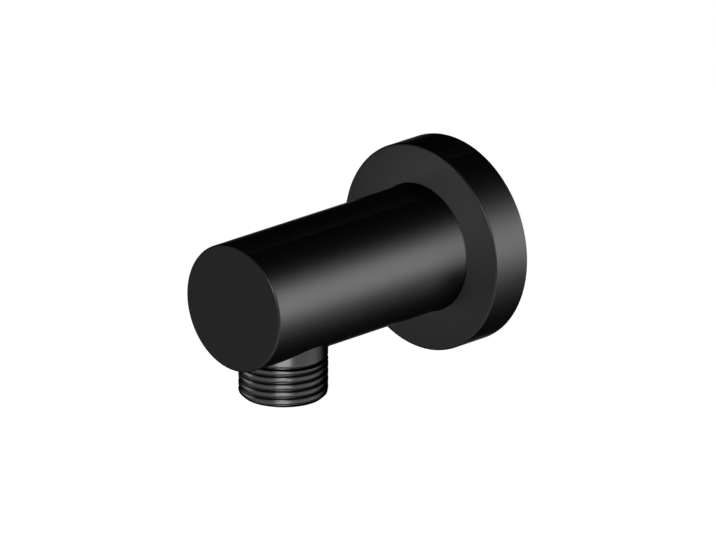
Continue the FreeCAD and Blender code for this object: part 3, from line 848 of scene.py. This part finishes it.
def make_floor(studio):
    """A plain pale floor far under the object, which can be seen through from below."""
    bpy.ops.object.select_all(action="DESELECT")
    bpy.ops.mesh.primitive_plane_add(size=12, location=(0, 0, -studio.floor_drop))
    floor = bpy.context.object
    floor.name = "floor"
    tree, shader = new_finish("Pale floor")
    shader.inputs["Base Color"].default_value = (*studio.floor_colour, 1)
    shader.inputs["Roughness"].default_value = 0.9
    shader.inputs["Specular IOR Level"].default_value = 0.0
    # to rays that show the background the floor glows as well, up to white
    glow = place_node(tree, "ShaderNodeEmission", 0, 3)
    glow.inputs["Strength"].default_value = 0.75
    lift = place_node(tree, "ShaderNodeAddShader", 2, 1)
    keep = place_node(tree, "ShaderNodeMixShader", 3, 0)
    tree.links.new(shader.outputs[0], lift.inputs[0])
    tree.links.new(glow.outputs[0], lift.inputs[1])
    tree.links.new(background_share(tree, -3, 4), keep.inputs[0])
    tree.links.new(shader.outputs[0], keep.inputs[1])
    tree.links.new(lift.outputs[0], keep.inputs[2])
    clear = place_node(tree, "ShaderNodeBsdfTransparent", 3, 2)
    side = place_node(tree, "ShaderNodeNewGeometry", 3, 4)
    shown = place_node(tree, "ShaderNodeMixShader", 4, 0)
    tree.links.new(side.outputs["Backfacing"], shown.inputs[0])
    tree.links.new(keep.outputs[0], shown.inputs[1])
    tree.links.new(clear.outputs[0], shown.inputs[2])
    tree.links.new(shown.outputs[0], tree.nodes["Material Output"].inputs["Surface"])
    floor.data.materials.append(bpy.data.materials["Pale floor"])


def make_camera(studio):
    """The camera at the photograph's place: a long lens, from the right front and above."""
    turned = studio.azimuth
    down = studio.elevation
    aim = Vector((0, -31.181, -0.634)) * MM
    look = Vector(
        (-math.sin(turned) * math.cos(down), math.cos(turned) * math.cos(down), -math.sin(down))
    )
    right = Vector((math.cos(turned), math.sin(turned), 0))
    up = right.cross(look)
    tilted = math.cos(studio.roll) * right + math.sin(studio.roll) * up
    upright = -math.sin(studio.roll) * right + math.cos(studio.roll) * up
    view = bpy.data.cameras.new("Camera")
    view.lens = studio.lens
    view.sensor_width = 36.0
    view.clip_start = 0.1
    view.clip_end = 50.0
    camera = bpy.data.objects.new("Camera", view)
    bpy.context.scene.collection.objects.link(camera)
    camera.matrix_world = Matrix.Translation(aim - look * studio.distance) @ Matrix(
        (tilted, upright, -look)
    ).transposed().to_4x4()
    bpy.context.scene.camera = camera


class ELBOW_OT_studio(bpy.types.Operator):
    """Set up the camera, the floor, the lamps and the white background"""

    bl_idname = "elbow.studio"
    bl_label = "Studio"

    def execute(self, context):
        studio = context.scene.elbow_studio
        make_world(studio.fill)
        make_floor(studio)
        make_camera(studio)
        # three side lamps in one place, each less tall, are brightest at the height of the object
        passed = linked_pieces("passed by the side lamps", ["cover_shell"], "EXCLUDE")
        unlit = linked_pieces("not lit by the side lamps", ["hose_nipple"], "EXCLUDE")
        for height, brightness in ((1.5, 3.4), (1.0, 3.6), (0.55, 5.2)):
            side = add_lamp(
                "side lamp",
                direction(127, 5),
                distance=1.0,
                width=0.35,
                height=height,
                brightness=brightness,
            )
            side.light_linking.blocker_collection = passed
            side.light_linking.receiver_collection = unlit
        way = direction(38, 24)
        add_lamp("key lamp", way, distance=1.0, width=0.4, height=0.35, brightness=20.0)
        way = direction(44.6, -17.7)
        low = add_lamp("low front lamp", way, distance=0.8, width=0.5, height=0.3, brightness=5.5)
        lit = linked_pieces("low lit", ["hose_nipple"], "INCLUDE")
        low.light_linking.receiver_collection = lit
        way = direction(-41, -15)
        card = add_lamp("card", way, distance=0.05, width=0.04, height=0.03, brightness=3.0)
        lit = linked_pieces("lit by the card", ["cover_shell", "hose_nipple"], "INCLUDE")
        card.light_linking.receiver_collection = lit
        others = [piece.name for piece in bpy.data.objects if piece.type == "MESH"]
        others.remove("cover_shell")
        passed = linked_pieces("passed by the card", others, "EXCLUDE")
        card.light_linking.blocker_collection = passed
        context.scene.view_settings.view_transform = "Standard"
        return {"FINISHED"}


# Panel and registration


class ELBOW_PT_pieces(bpy.types.Panel):
    """Sizes, finishes and pieces of the wall outlet elbow"""

    bl_idname = "ELBOW_PT_pieces"
    bl_label = "Wall Outlet Elbow"
    bl_space_type = "VIEW_3D"
    bl_region_type = "UI"
    bl_category = "Wall Outlet"

    def draw(self, context):
        for operator in OPERATORS:
            self.layout.operator(operator.bl_idname)
        for owner in SETTINGS:
            settings = getattr(context.scene, owner)
            box = self.layout.box()
            for name in settings.__annotations__:
                box.prop(settings, name)


OPERATORS = (
    ELBOW_OT_finishes,
    ELBOW_OT_outlet_body,
    ELBOW_OT_cover_rosette,
    ELBOW_OT_hose_nipple,
    ELBOW_OT_wall_connector,
    ELBOW_OT_valve,
    ELBOW_OT_seal_rings,
    ELBOW_OT_studio,
)
SETTINGS = {
    "elbow_body": OutletBodySettings,
    "elbow_rosette": CoverRosetteSettings,
    "elbow_thread": PipeThreadSettings,
    "elbow_finish": FinishSettings,
    "elbow_studio": StudioSettings,
}


def register():
    for owner, group in SETTINGS.items():
        bpy.utils.register_class(group)
        setattr(bpy.types.Scene, owner, bpy.props.PointerProperty(type=group))
    for operator in OPERATORS:
        bpy.utils.register_class(operator)
    bpy.utils.register_class(ELBOW_PT_pieces)


def unregister():
    bpy.utils.unregister_class(ELBOW_PT_pieces)
    for operator in reversed(OPERATORS):
        bpy.utils.unregister_class(operator)
    for owner, group in SETTINGS.items():
        delattr(bpy.types.Scene, owner)
        bpy.utils.unregister_class(group)


def main():
    register()
    bpy.ops.elbow.finishes()
    bpy.ops.elbow.outlet_body()
    bpy.ops.elbow.cover_rosette()
    bpy.ops.elbow.hose_nipple()
    bpy.ops.elbow.wall_connector()
    bpy.ops.elbow.valve()
    bpy.ops.elbow.seal_rings()
    bpy.ops.elbow.studio()


if __name__ == "__main__":
    main()
